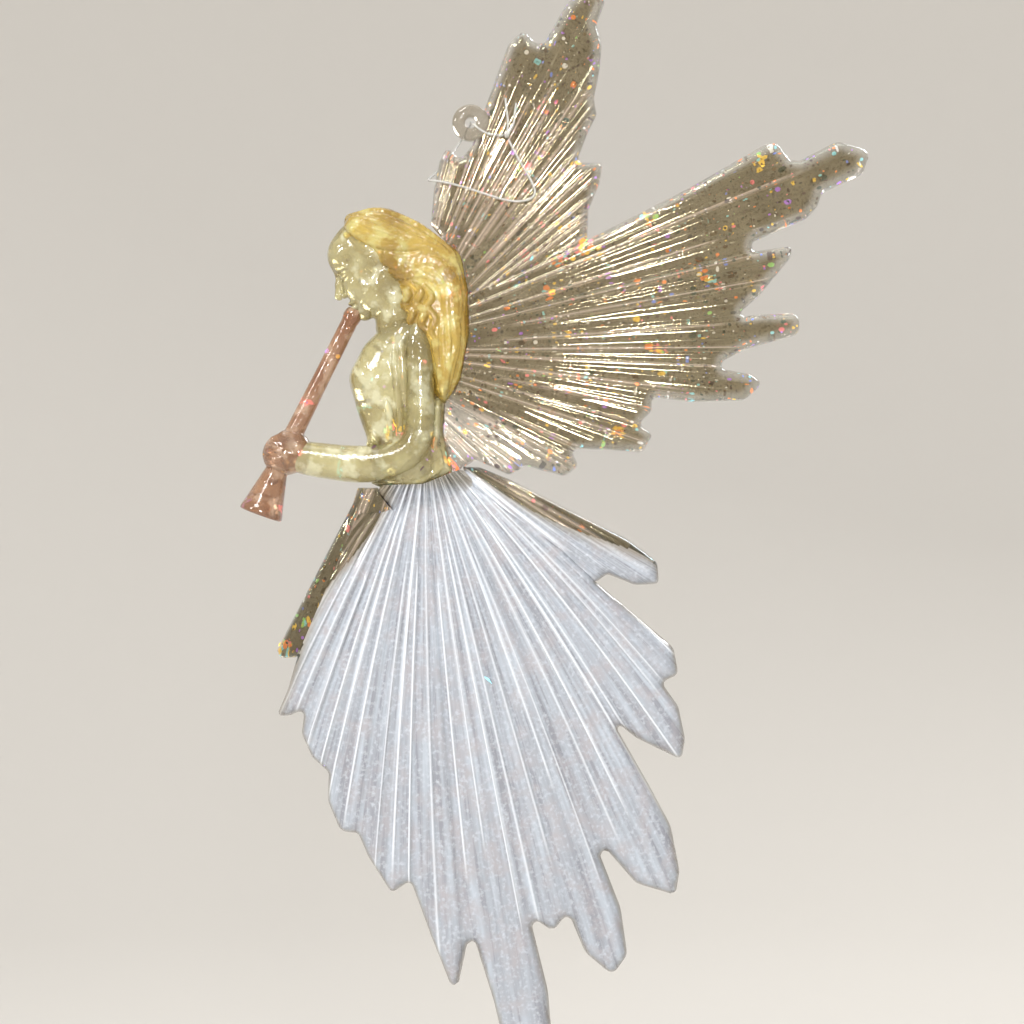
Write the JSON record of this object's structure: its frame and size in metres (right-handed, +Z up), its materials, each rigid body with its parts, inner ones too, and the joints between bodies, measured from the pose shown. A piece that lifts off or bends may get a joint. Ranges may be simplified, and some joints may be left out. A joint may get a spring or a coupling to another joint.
{
  "type": "hanging angel ornament",
  "caption": "Flat clear-resin angel in profile blowing a trumpet, with two ridged feather wings, a long pearl feather skirt and a swinging nylon hanging line.",
  "frame": {"origin": "centre of the hanging eyelet's hole, in the flat casting's middle plane", "axes": "+Z up along the figure from skirt tip to head, +Y through the casting's thickness to the back, -Y the front face that is looked at, +X towards the wings"},
  "size_m": [0.1132, 0.011, 0.2011],
  "materials": {
    "clear_resin": "glossy clear cast resin with holographic glitter flakes inside, faintly smoke-brown",
    "gold_tinted_resin": "glossy, thin translucent yellow-gold tint over clear resin",
    "amber_tinted_resin": "glossy, translucent amber-gold tint over clear resin",
    "copper_tinted_resin": "glossy, translucent rose-copper tint over clear resin",
    "pearl_resin": "satin pearl-white spray over clear resin",
    "nylon_line": "clear nylon monofilament"
  },
  "bodies": {
    "ornament": {"head": "gold_tinted_resin", "hair": "amber_tinted_resin", "torso": "gold_tinted_resin", "upper_arm_front": "gold_tinted_resin", "upper_arm_back": "gold_tinted_resin", "forearm": "gold_tinted_resin", "hand": "copper_tinted_resin", "trumpet_tube": "copper_tinted_resin", "trumpet_bell": "copper_tinted_resin", "waist_gather": "clear_resin", "skirt": "pearl_resin", "skirt_front_rib": "clear_resin", "skirt_rear_blade": "pearl_resin", "upper_wing": "clear_resin", "lower_wing": "clear_resin", "hanging_eyelet": "clear_resin"},
    "line": {"hanging_line": "nylon_line", "line_knot": "nylon_line", "line_tail_left": "nylon_line", "line_tail_right": "nylon_line"}
  },
  "joints": [
    {"name": "line_swing", "type": "hinge", "parent": "ornament", "child": "line", "pos_m": [0, 0, 0], "axis": [0, 1, 0], "range_deg": [0, 150]}
  ]
}
